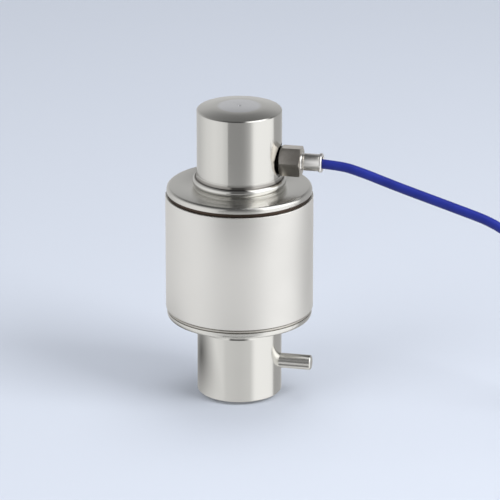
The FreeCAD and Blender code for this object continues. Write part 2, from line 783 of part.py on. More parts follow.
# Resistor spools, lying round the board on the side away from its slot
def spool():
    """One wound resistor: a spool with its axis across the board's radius."""
    radius = number(S.resistor_diameter) / 2
    length = number(S.resistor_length)
    flange = length / 6
    core = Part.makeCylinder(radius * 0.8, length)
    ends = [Part.makeCylinder(radius, flange, Vector(0, 0, z)) for z in (0, length - flange)]
    whole = core.fuse(ends).removeSplitter()
    whole.Placement = Placement(
        Vector(number(board_radius - S.resistor_margin), length / 2, number(board_top) + radius),
        Rotation(Vector(1, 0, 0), 90))
    return whole


resistor_angles = [22, 42, 82, 100, -22, -42, -82, -100]
grouped("trim_resistors",
        [turned_about(spool(), number(S.lead_angle) + angle) for angle in resistor_angles])


def smooth_path(points, radii=None):
    """Straight runs joined by tangent arcs; each arc is as large as its runs allow."""
    edges = []
    start = points[0]
    made = []
    for k in range(1, len(points) - 1):
        before, here, after = points[k - 1 : k + 2]
        to_before = (before - here).normalize()
        to_after = (after - here).normalize()
        half_turn = (math.pi - to_before.getAngle(to_after)) / 2
        run = min((before - here).Length, (after - here).Length)
        radius = radii[k - 1] if radii else 0.45 * run / math.tan(half_turn)
        cut = radius * math.tan(half_turn)
        first, last = here + to_before * cut, here + to_after * cut
        inward = (to_before + to_after).normalize()
        crown = here + inward * (radius / math.cos(half_turn) - radius)
        edges.append(Part.LineSegment(start, first).toShape())
        edges.append(Part.Arc(first, crown, last).toShape())
        made.append(round(radius, 1))
        start = last
    edges.append(Part.LineSegment(start, points[-1]).toShape())
    return Part.Wire(edges), made


def tube(points, diameter, radii=None):
    """A round solid along a smooth path, and the radii of its bends."""
    path, made = smooth_path(points, radii)
    way = (points[1] - points[0]).normalize()
    section = Part.Wire(Part.Circle(points[0], way, diameter / 2).toShape())
    solid = path.makePipeShell([section], True, False)
    wanted = math.pi * diameter * diameter / 4 * path.Length
    if abs(solid.Volume - wanted) > 0.02 * wanted:
        raise ValueError("a tube has the wrong volume")
    return solid, made


def single(label, shape):
    """A node of one solid that Part's own functions made."""
    feature = doc.addObject("Part::Feature", label)
    feature.Label = label
    feature.Shape = shape
    return feature


def along_lead(distance, height, aside=0.0):
    """A point in the upright plane through the gland's axis."""
    across = Vector(-lead_way.y, lead_way.x, 0)
    return lead_way * number(distance) + across * number(aside) + Vector(0, 0, number(height))


# Gauge wires: two from each terminal strip, out and down to the board
def gauge_wire(side):
    """One wire on the flat that faces +X."""
    off = number(S.wire_spread) * side
    start = number(flat_distance + S.terminal_thickness)
    drop = number(slot + S.wire_margin)
    level = number(terminal_level)
    points = [Vector(start, off, level), Vector(drop, off, level),
              Vector(drop, off, number(board_top))]
    return tube(points, number(S.wire_diameter), [(drop - start) * 0.7])[0]


def slot_side_wire(side):
    """One wire on the flat over the board's slot: it goes aside before it comes down."""
    off = number(S.wire_spread) * side
    aside = number(slot + S.wire_margin) * side
    start = number(flat_distance + S.terminal_thickness)
    out = number(waist_radius) + 2 * number(S.wire_diameter)
    level = number(terminal_level)
    points = [Vector(start, off, level), Vector(out, off, level), Vector(out, aside, level),
              Vector(out, aside, number(board_top))]
    return tube(points, number(S.wire_diameter), [0.45 * (out - start), 0.9 * (out - start)])[0]


wire_angles = [number(S.lead_angle) + turn for turn in (0, 90, -90)]
wires = [turned_about(gauge_wire(side), angle) for angle in wire_angles for side in (-1, 1)]
wires += [turned_about(slot_side_wire(side), number(S.lead_angle) + 180) for side in (-1, 1)]
grouped("gauge_wires", wires)

# Cable cores: the bundle from the cable's end through the gland and the channel to the board
cores_start = gland_seat - S.edge_break
core_corner = board_radius - S.core_margin
core_fall = (core_corner - channel_exit) / channel_slope
core_points = [
    along_lead(cores_start, gland_height),
    along_lead(channel_top, gland_height),
    along_lead(core_corner, upper_flange_bottom - core_fall),
    along_lead(core_corner, board_top),
]
core_bundle = number(S.core_bundle)
cores, _ = tube(core_points, core_bundle, [core_bundle, 4 * core_bundle])
single("cable_cores", cores)

# Bush in the mouth of the channel
bush_hole = S.core_bundle / 2 + S.bush_gap
channel_fit = S.channel_diameter / 2 - S.slip_gap
channel_bush = turned("channel_bush", [
    (bush_hole, 0),
    (channel_fit, 0),
    (channel_fit, S.bush_length),
    (bush_hole, S.bush_length),
])
channel_bush.Placement = Placement(
    along_lead(channel_exit, upper_flange_bottom),
    Rotation(Vector(0, 0, 1), number(S.lead_angle))
    * Rotation(Vector(0, 1, 0), -number(channel_tilt)))

# Cable: it leaves the gland level, hangs down past the housing and comes to rest on the floor.
# A place on its way is a share of the cable's reach, along X and Y, and of the gland's height.
CABLE_WAY = [
    (0.3749, -0.0797, 0.9406),
    (0.5095, -0.1083, 0.8628),
    (0.6297, -0.1338, 0.7833),
    (0.7056, -0.1500, 0.6552),
    (0.7527, -0.1600, 0.4720),
    (0.7735, -0.1641, 0.2661),
    (0.8098, -0.1700, 0.1381),
    (0.8678, -0.1749, 0.0502),
    (0.9410, -0.1769, 0.0),
    (1.0, -0.1769, 0.0),
]
cable_radius = number(S.cable_diameter) / 2
coil_lift = number(S.tie_gap + S.tie_thickness)
coil_floor = coil_lift + cable_radius
reach = number(S.cable_reach)
fall = number(gland_height) - coil_floor
cable_points = [
    along_lead(gland_seat, gland_height),
    along_lead(gland_mouth + S.cable_diameter * 1.5, gland_height),
]
cable_points += [Vector(reach * x, reach * y, coil_floor + fall * z) for x, y, z in CABLE_WAY]
cable, bends = tube(cable_points, 2 * cable_radius)
print("cable bend radii, mm:", bends)
single("cable_run", cable)

# Coil: the outer shape of the neat turns, with the first turn's start and the last turn on top
pitch = number(S.coil_pitch)
half_width = pitch * number(S.coil_columns) / 2
coil_mean = number(S.coil_mean_radius)
outer_turn = coil_mean + half_width - pitch / 2
coil_inner, coil_outer = coil_mean - half_width, coil_mean + half_width
coil_height = pitch * number(S.coil_layers)
turn_way = Vector(1, 0, 0)
start_stub = math.sqrt(coil_outer ** 2 - (outer_turn - cable_radius) ** 2) * 1.05
coil_centre = cable_points[-1] + Vector(start_stub, outer_turn, 0)
coil_centre.z = coil_lift


def ring_block():
    """The coil's bundle of turns, with rounded corners."""
    block = Part.makeCylinder(coil_outer, coil_height)
    block = block.cut(Part.makeCylinder(coil_inner, coil_height))
    rims = [edge for edge in block.Edges if isinstance(edge.Curve, Part.Circle)]
    return block.makeFillet(cable_radius * 0.9, rims)


def coil_place(radius, degrees, height):
    """A point over the coil, by its angle from +X."""
    angle = math.radians(degrees)
    return Vector(radius * math.cos(angle), radius * math.sin(angle), height)


# The last turn climbs out of the top layer and runs inwards over it.
coil_top = coil_height + cable_radius - number(S.tail_sink)
tail_radius = number(S.tail_end_radius)
TAIL_WAY = [(0.966, -132), (0.939, -109), (0.737, -87), (0.485, -68), (0.222, -52), (0.0, -40)]
tail_points = [coil_place(tail_radius + share * (outer_turn - tail_radius), degrees, coil_top)
               for share, degrees in TAIL_WAY]
tail_points[0].z -= number(S.cable_diameter)
tail, tail_bends = tube(tail_points, 2 * cable_radius)
print("last turn bend radii, mm:", tail_bends)
stub_start = cable_points[-1] - coil_centre
stub = Part.makeCylinder(cable_radius, start_stub, stub_start, turn_way)
coil = ring_block().fuse([stub, tail]).removeSplitter()
coil_solid = coil.Solids[0] if coil.Solids else coil
coil_feature = single("cable_coil", coil_solid)
coil_feature.Placement = Placement(coil_centre, Rotation())


# Coil ties: two flat straps round the bundle
def strap(degrees):
    """One strap, as a frame round the bundle's section."""
    gap = number(S.tie_gap)
    thick = number(S.tie_thickness)
    width = number(S.tie_width)
    near = math.sqrt(coil_inner ** 2 - (width / 2) ** 2) - gap
    reach = coil_outer + gap - near
    inside = Part.makeBox(reach, width, coil_height + 2 * gap, Vector(near, -width / 2, -gap))
    outside = Part.makeBox(reach + 2 * thick, width, coil_height + 2 * (gap + thick),
                           Vector(near - thick, -width / 2, -gap - thick))
    frame = outside.cut(inside)
    frame.rotate(Vector(0, 0, 0), Vector(0, 0, 1), degrees)
    return frame


TIE_ANGLES = (38, 218)
ties = grouped("coil_ties", [strap(degrees) for degrees in TIE_ANGLES])
ties.Placement = Placement(coil_centre, Rotation())

# Stripped end of the cable: shrink sleeve, single cores and their ferrules, lying on the coil
end_way = (tail_points[-1] - tail_points[-2]).normalize()
end_side = Vector(-end_way.y, end_way.x, 0)
sleeve_top = coil_height + number(S.sleeve_end_diameter) / 2
end_start = Vector(tail_points[-1].x, tail_points[-1].y, sleeve_top)
end_length = number(S.sleeve_end_length)
end_sleeve = Part.makeCylinder(number(S.sleeve_end_diameter) / 2, end_length, end_start, end_way)
end_feature = single("end_sleeve", end_sleeve)
end_feature.Placement = Placement(coil_centre, Rotation())

core_radius = number(S.core_diameter) / 2
core_total = int(number(S.core_count))
core_length = number(S.core_length)
ferrule_radius = number(S.ferrule_diameter) / 2
core_ring = number(S.sleeve_end_diameter) / 2 - 2 * core_radius
end_middle = end_start + end_way * end_length
end_cores, end_ferrules = [], []
for k in range(core_total):
    # They leave the sleeve in a ring and end side by side on the coil.
    angle = math.radians((-120, 120, -90, 90, -60, 60)[k])
    root = (end_middle + end_side * (core_ring * math.cos(angle) * 1.4)
            + Vector(0, 0, core_ring * math.sin(angle)))
    tip = end_middle + end_way * core_length
    tip += end_side * (number(S.core_spacing) * ((core_total - 1) / 2 - k) * -1)
    tip.z = coil_height + ferrule_radius
    path = [root, root + end_way * core_length * 0.23, tip - end_way * core_length * 0.31, tip]
    end_cores.append(tube(path, 2 * core_radius)[0])
    end_ferrules.append(Part.makeCylinder(ferrule_radius, number(S.ferrule_length), tip, end_way))
for label, solids in (("end_cores", end_cores), ("end_ferrules", end_ferrules)):
    grouped(label, solids).Placement = Placement(coil_centre, Rotation())


def check_and_write():
    """Recomputes the document, checks every object and writes one file for each piece."""
    doc.recompute()
    failed = [thing.Label for thing in doc.Objects
              if "Invalid" in thing.State or "Error" in thing.State]
    if failed:
        raise ValueError(f"failed: {failed}")
    os.makedirs("parts", exist_ok=True)
    pieces = [thing for thing in doc.Objects
              if thing.TypeId in ("PartDesign::Body", "Part::Feature")]
    for piece in pieces:
        if piece.Shape.isNull() or not piece.Shape.isValid():
            raise ValueError(f"{piece.Label} has no valid shape")
        piece.Shape.exportStep(f"parts/{piece.Label}.step")
        solids = len(piece.Shape.Solids)
        print(f"{piece.Label}: {solids} solids, {piece.Shape.Volume:.1f} mm3")


check_and_write()
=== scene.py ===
import json
import math

import bpy
from mathutils import Matrix, Vector

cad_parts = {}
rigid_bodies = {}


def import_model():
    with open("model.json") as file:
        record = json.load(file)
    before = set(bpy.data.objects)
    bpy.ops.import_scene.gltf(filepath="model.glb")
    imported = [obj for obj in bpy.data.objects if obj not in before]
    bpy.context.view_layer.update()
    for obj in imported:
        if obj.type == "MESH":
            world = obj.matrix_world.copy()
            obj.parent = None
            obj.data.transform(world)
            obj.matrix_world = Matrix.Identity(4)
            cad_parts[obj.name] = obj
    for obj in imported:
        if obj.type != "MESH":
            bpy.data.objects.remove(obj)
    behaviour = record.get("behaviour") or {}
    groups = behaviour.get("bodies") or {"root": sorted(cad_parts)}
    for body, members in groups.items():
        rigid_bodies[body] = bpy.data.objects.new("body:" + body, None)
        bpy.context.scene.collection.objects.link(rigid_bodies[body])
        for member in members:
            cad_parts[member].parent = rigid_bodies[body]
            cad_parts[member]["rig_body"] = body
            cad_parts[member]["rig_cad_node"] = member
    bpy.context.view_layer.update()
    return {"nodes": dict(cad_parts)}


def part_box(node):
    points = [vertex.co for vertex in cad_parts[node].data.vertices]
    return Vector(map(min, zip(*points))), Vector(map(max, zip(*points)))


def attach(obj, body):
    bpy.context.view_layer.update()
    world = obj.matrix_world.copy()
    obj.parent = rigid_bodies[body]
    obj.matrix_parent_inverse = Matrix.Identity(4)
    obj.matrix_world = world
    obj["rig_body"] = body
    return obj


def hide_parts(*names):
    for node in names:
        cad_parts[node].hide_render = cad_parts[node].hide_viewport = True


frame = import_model()
nodes = frame["nodes"]


# Camera: a long lens a little above the cell, level with the photographer's table.
# It looks along +Y at the middle of the column.
camera_data = bpy.data.cameras.new("camera")
camera_data.lens = 304.7
camera_data.sensor_width = 36.0
camera_data.clip_start, camera_data.clip_end = 0.05, 50.0
camera = bpy.data.objects.new("camera", camera_data)
bpy.context.scene.collection.objects.link(camera)
camera_target = Vector((0.00525, 0.0, 0.0747))
camera_distance, camera_elevation = 2.1, math.radians(20.1)
camera_back = Vector((0.0, -math.cos(camera_elevation), math.sin(camera_elevation)))
camera.location = camera_target + camera_back * camera_distance
camera.rotation_euler = (-camera_back).to_track_quat("-Z", "Y").to_euler()
bpy.context.scene.camera = camera
bpy.context.scene.view_settings.view_transform = "Standard"


def linear(code):
    """An sRGB hex colour as linear RGBA."""
    parts = [int(code[k:k + 2], 16) / 255 for k in (1, 3, 5)]
    return [c / 12.92 if c <= 0.04045 else ((c + 0.055) / 1.055) ** 2.4 for c in parts] + [1.0]


def add(tree, kind, inputs=None, **settings):
    """Adds a node with its settings, and its inputs as values or as sockets to link."""
    node = tree.nodes.new(kind)
    for name, value in settings.items():
        setattr(node, name, value)
    for key, value in (inputs or {}).items():
        if isinstance(value, bpy.types.NodeSocket):
            tree.links.new(value, node.inputs[key])
        else:
            node.inputs[key].default_value = value
    return node


def ramp(tree, factor, stops):
    """A colour ramp node with its stops as (place, grey or hex colour)."""
    node = add(tree, "ShaderNodeValToRGB", {"Fac": factor})
    elements = node.color_ramp.elements
    while len(elements) < len(stops):
        elements.new(0.5)
    for element, (place, tone) in zip(elements, stops):
        element.position = place
        element.color = linear(tone) if isinstance(tone, str) else (tone, tone, tone, 1.0)
    return node


def material(name, colour, metallic, roughness, **sockets):
    """A principled material with its plain values, and its tree."""
    made = bpy.data.materials.new(name)
    made.use_nodes = True
    shader = made.node_tree.nodes["Principled BSDF"]
    values = {"Base Color": linear(colour), "Metallic": metallic, "Roughness": roughness, **sockets}
    for key, value in values.items():
        shader.inputs[key].default_value = value
    return made, made.node_tree, shader


def bump(tree, shader, height, depth):
    """Raises the surface by a height socket, to a depth in metres."""
    node = add(tree, "ShaderNodeBump", {"Height": height, "Distance": depth, "Strength": 1.0})
    tree.links.new(node.outputs[0], shader.inputs["Normal"])


def speckle(tree, per_metre, detail=3.0, stretch=(1.0, 1.0, 1.0)):
    """Fine noise on the object's coordinates, with its grains and its stretch."""
    place = add(tree, "ShaderNodeTexCoord")
    fitted = add(tree, "ShaderNodeMapping", {"Vector": place.outputs["Object"], "Scale": stretch})
    return add(tree, "ShaderNodeTexNoise", {"Vector": fitted.outputs[0], "Scale": per_metre,
                                            "Detail": detail}).outputs["Fac"]


def object_parts(tree):
    """The X, Y and Z of a place on the piece, in its own coordinates."""
    place = add(tree, "ShaderNodeTexCoord")
    return add(tree, "ShaderNodeSeparateXYZ", {"Vector": place.outputs["Object"]}).outputs


def grained(name, colour, metallic, roughness, per_metre, depth, detail=3.0, **sockets):
    """A principled material whose skin has a fine grain, so many per metre and so deep."""
    made, tree, shader = material(name, colour, metallic, roughness, **sockets)
    bump(tree, shader, speckle(tree, per_metre, detail), depth)
    return made


# Studio: a pale floor, soft lamps, and a room whose big white screens show in the steel.
# The screens stand left and right of the camera with a dark gap between them, and the right
# one is the brighter and taller. Only reflections see them: the camera sees a plain pale room.
fill_strength, steel_strength = 0.55, 1.15
tall_screen_extra = 0.72
back_wall_lift = 0.2
table_edge = -0.2
world = bpy.data.worlds.new("studio")
bpy.context.scene.world = world
world.use_nodes = True
room = world.node_tree
room.nodes.clear()
ways = add(room, "ShaderNodeTexCoord")
parts = add(room, "ShaderNodeSeparateXYZ", {"Vector": ways.outputs["Generated"]})
forward = add(room, "ShaderNodeMath", {0: parts.outputs["Y"], 1: -1.0}, operation="MULTIPLY")
round_angle = add(room, "ShaderNodeMath", {0: parts.outputs["X"], 1: forward.outputs[0]},
                  operation="ARCTAN2")
share = add(room, "ShaderNodeMapRange", {"Value": round_angle.outputs[0], "From Min": -math.pi,
                                         "From Max": math.pi})


def around(degrees):
    """The ramp's place for an angle from the camera's side, positive to its right."""
    return (degrees + 180.0) / 360.0


screens = ramp(room, share.outputs[0], [
    (around(-180), 0.54), (around(-152), 0.52), (around(-136), 0.54), (around(-99), 0.73),
    (around(-70), 0.79), (around(-48), 0.74), (around(-37), 0.64), (around(0), 0.61),
    (around(30), 0.66), (around(42), 0.95), (around(51), 0.99), (around(91), 0.98),
    (around(103), 0.90), (around(109), 0.39), (around(150), 0.39), (around(180), 0.54)])
behind = add(room, "ShaderNodeMath", {0: parts.outputs["Y"], 1: 0.0}, operation="MAXIMUM")
lifted = add(room, "ShaderNodeMath", {0: behind.outputs[0], 1: back_wall_lift,
                                      2: parts.outputs["Z"]}, operation="MULTIPLY_ADD")
ceiling = ramp(room, lifted.outputs[0], [(0.0, 1.0), (0.30, 1.0), (0.36, 0.95), (0.53, 0.83),
                                         (0.70, 0.41), (0.82, 0.24), (0.90, 0.10)])
height = add(room, "ShaderNodeMapRange", {"Value": parts.outputs["Z"], "From Min": -1.0,
                                          "From Max": 1.0})
front = ramp(room, height.outputs[0], [(0.03, 1.0), (0.07, 0.2), (0.18, 0.2), (0.24, 1.0),
                                       (0.42, 1.0), (0.46, 0.18), (0.82, 0.18), (0.88, 1.0)])
high_gap = ramp(room, share.outputs[0], [(around(-27), 0.0), (around(-19), 1.0),
                                         (around(10), 1.0), (around(40), 0.0)])
low_gap = ramp(room, share.outputs[0], [(around(-40), 0.0), (around(-33), 1.0),
                                        (around(16), 1.0), (around(42), 0.0)])
above = add(room, "ShaderNodeMath", {0: parts.outputs["Z"], 1: table_edge},
            operation="GREATER_THAN")
gap = add(room, "ShaderNodeMix", {0: above.outputs[0], 2: low_gap.outputs[0],
                                  3: high_gap.outputs[0]})
darker = add(room, "ShaderNodeMix", {0: gap.outputs[0], 2: 1.0, 3: front.outputs[0]})
low_part = add(room, "ShaderNodeMath", {0: ceiling.outputs[0], 1: darker.outputs[0]},
               operation="MULTIPLY")
tall = ramp(room, lifted.outputs[0], [(0.0, 0.0), (0.10, 0.0), (0.30, 1.0), (0.80, 1.0),
                                      (0.96, 0.3)])
tall_gain = add(room, "ShaderNodeMath", {0: tall.outputs[0], 1: tall_screen_extra, 2: 1.0},
                operation="MULTIPLY_ADD")
right_side = ramp(room, share.outputs[0], [(around(30), 0.0), (around(46), 1.0),
                                           (around(96), 1.0), (around(112), 0.0)])
upper = add(room, "ShaderNodeMix", {0: right_side.outputs[0], 2: low_part.outputs[0],
                                    3: tall_gain.outputs[0]})
surround = add(room, "ShaderNodeMath", {0: screens.outputs[0], 1: upper.outputs[0]},
               operation="MULTIPLY")
rays = add(room, "ShaderNodeLightPath")
soft_fill = add(room, "ShaderNodeBackground", {"Color": linear("#f4f6fa"),
                                                  "Strength": fill_strength})
pale_view = add(room, "ShaderNodeBackground", {"Color": linear("#ccd1db"), "Strength": 1.0})
steel_view = add(room, "ShaderNodeBackground", {"Color": surround.outputs[0],
                                                "Strength": steel_strength})
seen = add(room, "ShaderNodeMixShader", {0: rays.outputs["Is Camera Ray"],
                                         1: soft_fill.outputs[0], 2: pale_view.outputs[0]})
mirrored = add(room, "ShaderNodeMath", {0: rays.outputs["Is Glossy Ray"],
                                        1: rays.outputs["Is Transmission Ray"]},
               operation="MAXIMUM")
whole = add(room, "ShaderNodeMixShader", {0: mirrored.outputs[0], 1: seen.outputs[0],
                                          2: steel_view.outputs[0]})
add(room, "ShaderNodeOutputWorld", {"Surface": whole.outputs[0]})


def lamp(name, place, size, watts):
    """A square soft lamp aimed at the middle of the cell."""
    data = bpy.data.lights.new(name, "AREA")
    data.size = size
    data.energy = watts
    light = bpy.data.objects.new(name, data)
    bpy.context.scene.collection.objects.link(light)
    light.location = place
    light.rotation_euler = (camera_target - Vector(place)).to_track_quat("-Z", "Y").to_euler()
    light.visible_glossy = False


lamp("left_lamp", (-0.9, -0.8, 1.1), 0.9, 8.0)
lamp("right_lamp", (1.0, -0.6, 1.0), 0.8, 17.0)
lamp("top_lamp", (0.1, 0.4, 1.4), 0.8, 6.0)


def mirror_card(name, finish, grey, **plane):
    """A grey plane that only reflections see, with its material's tree and its socket of cover."""
    bpy.ops.object.select_all(action="DESELECT")
    bpy.ops.mesh.primitive_plane_add(**plane)
    card = bpy.context.object
    card.name = name
    for kind in ("camera", "diffuse", "transmission", "shadow", "volume_scatter"):
        setattr(card, f"visible_{kind}", False)
    made = bpy.data.materials.new(finish)
    made.use_nodes = True
    tree = made.node_tree
    tree.nodes.clear()
    clear = add(tree, "ShaderNodeBsdfTransparent")
    glow = add(tree, "ShaderNodeEmission", {"Color": (grey, grey, grey, 1.0), "Strength": 1.0})
    shown = add(tree, "ShaderNodeMixShader", {1: clear.outputs[0], 2: glow.outputs[0]})
    add(tree, "ShaderNodeOutputMaterial", {"Surface": shown.outputs[0]})
    card.data.materials.append(made)
    return card, tree, shown.inputs[0]


# A grey card close in front of the cell shows in its upper half only, as the dark band.
# It fades out towards its right end.
card_width, card_height = 0.212, 0.07
band_grey, shade_grey = 0.33, 0.12
card, tree, cover = mirror_card("grey_card", "matt grey card", band_grey, size=1.0,
                                rotation=(math.pi / 2, 0.0, 0.0))
card.data.transform(Matrix.Diagonal((card_width, card_height, 1.0, 1.0)))
card.location = (0.022, -0.15, 0.095)
place = add(tree, "ShaderNodeTexCoord")
parts = add(tree, "ShaderNodeSeparateXYZ", {"Vector": place.outputs["Generated"]})
fade = ramp(tree, parts.outputs["X"], [(0.44, 1.0), (0.52, 0.95), (0.61, 0.82), (0.71, 0.58),
                                       (0.81, 0.26), (0.92, 0.0)])
tree.links.new(fade.outputs[0], cover)

# The cell's own shade on the table shows in the left of its foot, as a soft round patch.
shade_per_metre = 13.0
shade_card, tree, cover = mirror_card("shade_card", "soft table shade", shade_grey, size=0.16,
                                      location=(-0.066, 0.03, 0.0004))
place = add(tree, "ShaderNodeTexCoord")
fitted = add(tree, "ShaderNodeMapping", {"Vector": place.outputs["Object"],
                                         "Scale": (shade_per_metre,) * 3})
patch = add(tree, "ShaderNodeTexGradient", {"Vector": fitted.outputs[0]},
            gradient_type="SPHERICAL")
tree.links.new(patch.outputs["Fac"], cover)

bpy.ops.object.select_all(action="DESELECT")
bpy.ops.mesh.primitive_plane_add(size=12.0, location=(0.0, 0.0, -0.0002))
floor = bpy.context.object
floor.name = "floor"
floor.visible_glossy = False
paper = material("matt studio paper", "#c3c9d4", 0.0, 0.9)[0]
floor.data.materials.append(paper)


# Cable: a screened cable with a blue sheath of polyurethane, extruded smooth and flexible.
# It leaves the gland level, hangs to the floor and ends in a coil of its spare length.
lead_turn = math.radians(-12.0)
lead_way = Vector((math.cos(lead_turn), math.sin(lead_turn), 0.0))
gland_level = 0.1233
cable_diameter = 0.0048
cable_route = [
    (0.022889, -0.004865, 0.1233),
    (0.047929, -0.010188, 0.1230),
    (0.06000, -0.01275, 0.1198),
    (0.07629, -0.01622, 0.1140),
    (0.10368, -0.02204, 0.1052),
    (0.12814, -0.02723, 0.0972),
    (0.14359, -0.03053, 0.0821),
    (0.15317, -0.03256, 0.0602),
    (0.15741, -0.03339, 0.0356),
    (0.16479, -0.03460, 0.0203),
    (0.17660, -0.03559, 0.0098),
    (0.19149, -0.03600, 0.0038),
    (0.20350, -0.03600, 0.0038),
]
coil_middle = Vector((0.22491, 0.00685, 0.0))
coil_first_level = 0.0038
turn_pitch = 0.0049
turn_columns, turn_layers = 6, 4
layer_share = 0.993
outer_turn = 0.04285
points_per_turn = 15
crossing_points = 4
points_left_out = 2
bulge = 1.0 / math.cos(math.pi / points_per_turn)


def coil_point(radius, degrees, level):
    """A point of the coil by its angle from +X."""
    turn = math.radians(degrees)
    return (coil_middle.x + radius * math.cos(turn), coil_middle.y + radius * math.sin(turn), level)


# The turns go in and out again, layer by layer, and each starts over its neighbour.
turn_places = []
for layer in range(turn_layers):
    columns = range(turn_columns) if layer % 2 == 0 else reversed(range(turn_columns))
    for column in columns:
        turn_places.append((outer_turn - column * turn_pitch,
                            coil_first_level + layer * turn_pitch * layer_share))
coil_route = []
for k, (radius, level) in enumerate(turn_places):
    old_radius, old_level = turn_places[max(k - 1, 0)]
    for step in range(points_per_turn):
        degrees = -90.0 + 360.0 * (step + 0.5) / points_per_turn
        if k == len(turn_places) - 1 and step >= points_per_turn - points_left_out:
            break
        passed = min(1.0, (step + 1) / crossing_points)
        now = old_radius + (radius - old_radius) * passed
        height = old_level + (level - old_level) * passed
        coil_route.append(coil_point(now * bulge, degrees, height))
# The tail leaves the last turn inwards and lies across the top of the coil.
tail_radius, tail_level = 0.028, 0.0231
for part, degrees, drop in ((0.966, -132, 0.0048), (0.939, -109, 0.0), (0.737, -87, 0.0),
                            (0.485, -68, 0.0), (0.222, -52, 0.0), (0.0, -40, 0.0)):
    coil_route.append(coil_point(tail_radius + part * (outer_turn - tail_radius), degrees,
                                 tail_level - drop))

cable_points = cable_route + coil_route
cable_curve = bpy.data.curves.new("signal_cable", "CURVE")
cable_curve.dimensions = "3D"
line = cable_curve.splines.new("NURBS")
line.points.add(len(cable_points) - 1)
for point, place in zip(line.points, cable_points):
    point.co = (*place, 1.0)
line.order_u = 3
line.use_endpoint_u = True
line.resolution_u = 7
cable_curve.bevel_depth = cable_diameter / 2
cable_curve.bevel_resolution = 4
cable_curve.use_fill_caps = True
cable = bpy.data.objects.new("signal_cable", cable_curve)
bpy.context.scene.collection.objects.link(cable)
cable.visible_glossy = False


# Polyurethane sheath: a deep blue with a soft sheen and a faint extruder's ripple.
sheath, tree, shader = material("extruded polyurethane", "#1d287f", 0.0, 0.42,
                                IOR=1.5, **{"Specular IOR Level": 0.3})
tone = ramp(tree, speckle(tree, 60.0), [(0.3, "#192373"), (0.7, "#212e8a")])
tree.links.new(tone.outputs[0], shader.inputs["Base Color"])
bump(tree, shader, speckle(tree, 900.0), 0.00002)
cable_curve.materials.append(sheath)


def settle(piece, slot, *replaced):
    """Sets a finished piece to ride on the cell, and hides the CAD nodes it stands for."""
    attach(piece, "root")
    if replaced:
        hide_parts(*replaced)


settle(cable, "cable_sheath", "cable_run", "cable_coil")


def only(piece):
    """Makes a piece the one selected and active object."""
    bpy.ops.object.select_all(action="DESELECT")
    piece.select_set(True)
    bpy.context.view_layer.objects.active = piece


def finish_shape(piece, angle, edge=0.0):
    """Rounds the sharp edges of a piece and shades it smooth between them."""
    only(piece)
    if edge:
        rounding = piece.modifiers.new("edge", "BEVEL")
        rounding.width = edge
        rounding.segments = 3
        rounding.limit_method = "ANGLE"
        rounding.angle_limit = math.radians(angle)
        bpy.ops.object.modifier_apply(modifier=rounding.name)
    bpy.ops.object.shade_smooth_by_angle(angle=math.radians(angle))


crease_angle = 32.0
turned_weld, packed_weld = 0.000004, 0.000002


def turned(name, profile, steps=192, edge=0.00012, way=None):
    """A piece turned from a closed profile of (radius, height) in millimetres.
    way is the matrix that lays it in place."""
    mesh = bpy.data.meshes.new(name)
    places = [(r / 1000.0, 0.0, z / 1000.0) for r, z in profile]
    mesh.from_pydata(places, [(k, (k + 1) % len(places)) for k in range(len(places))], [])
    piece = bpy.data.objects.new(name, mesh)
    bpy.context.scene.collection.objects.link(piece)
    only(piece)
    bpy.ops.object.mode_set(mode="EDIT")
    bpy.ops.mesh.select_all(action="SELECT")
    bpy.ops.mesh.spin(steps=steps, angle=2 * math.pi, center=(0.0, 0.0, 0.0), axis=(0.0, 0.0, 1.0))
    bpy.ops.mesh.select_all(action="SELECT")
    bpy.ops.mesh.remove_doubles(threshold=turned_weld)
    bpy.ops.mesh.normals_make_consistent(inside=False)
    bpy.ops.object.mode_set(mode="OBJECT")
    if way is not None:
        mesh.transform(way)
    finish_shape(piece, crease_angle, edge)
    return piece


def rounded(start, middle, end, count=8):
    """Points of the arc through three places, the first and last included."""
    (ax, ay), (bx, by), (cx, cy) = start, middle, end
    d = 2 * (ax * (by - cy) + bx * (cy - ay) + cx * (ay - by))
    squares = [x * x + y * y for x, y in (start, middle, end)]
    ux = (squares[0] * (by - cy) + squares[1] * (cy - ay) + squares[2] * (ay - by)) / d
    uy = (squares[0] * (cx - bx) + squares[1] * (ax - cx) + squares[2] * (bx - ax)) / d
    radius = math.hypot(ax - ux, ay - uy)
    first, mid, last = (math.atan2(y - uy, x - ux) for x, y in (start, middle, end))
    sweep = (last - first + math.pi) % (2 * math.pi) - math.pi
    half = (mid - first + math.pi) % (2 * math.pi) - math.pi
    if sweep * half < 0:
        sweep -= math.copysign(2 * math.pi, sweep)
    turns = [first + sweep * k / count for k in range(count + 1)]
    return [(ux + radius * math.cos(t), uy + radius * math.sin(t)) for t in turns]


def merged_copy(node, name, angle=28.0):
    """A copy of a CAD node with its triangles joined, shaded smooth between sharp edges."""
    piece = nodes[node].copy()
    piece.data = nodes[node].data.copy()
    piece.name = name
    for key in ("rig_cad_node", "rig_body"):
        del piece[key]
    piece.parent = None
    bpy.context.scene.collection.objects.link(piece)
    piece.data.materials.clear()
    only(piece)
    bpy.ops.object.mode_set(mode="EDIT")
    bpy.ops.mesh.select_all(action="SELECT")
    bpy.ops.mesh.remove_doubles(threshold=packed_weld)
    bpy.ops.object.mode_set(mode="OBJECT")
    if piece.data.has_custom_normals:
        bpy.ops.mesh.customdata_custom_splitnormals_clear()
    finish_shape(piece, angle)
    return piece


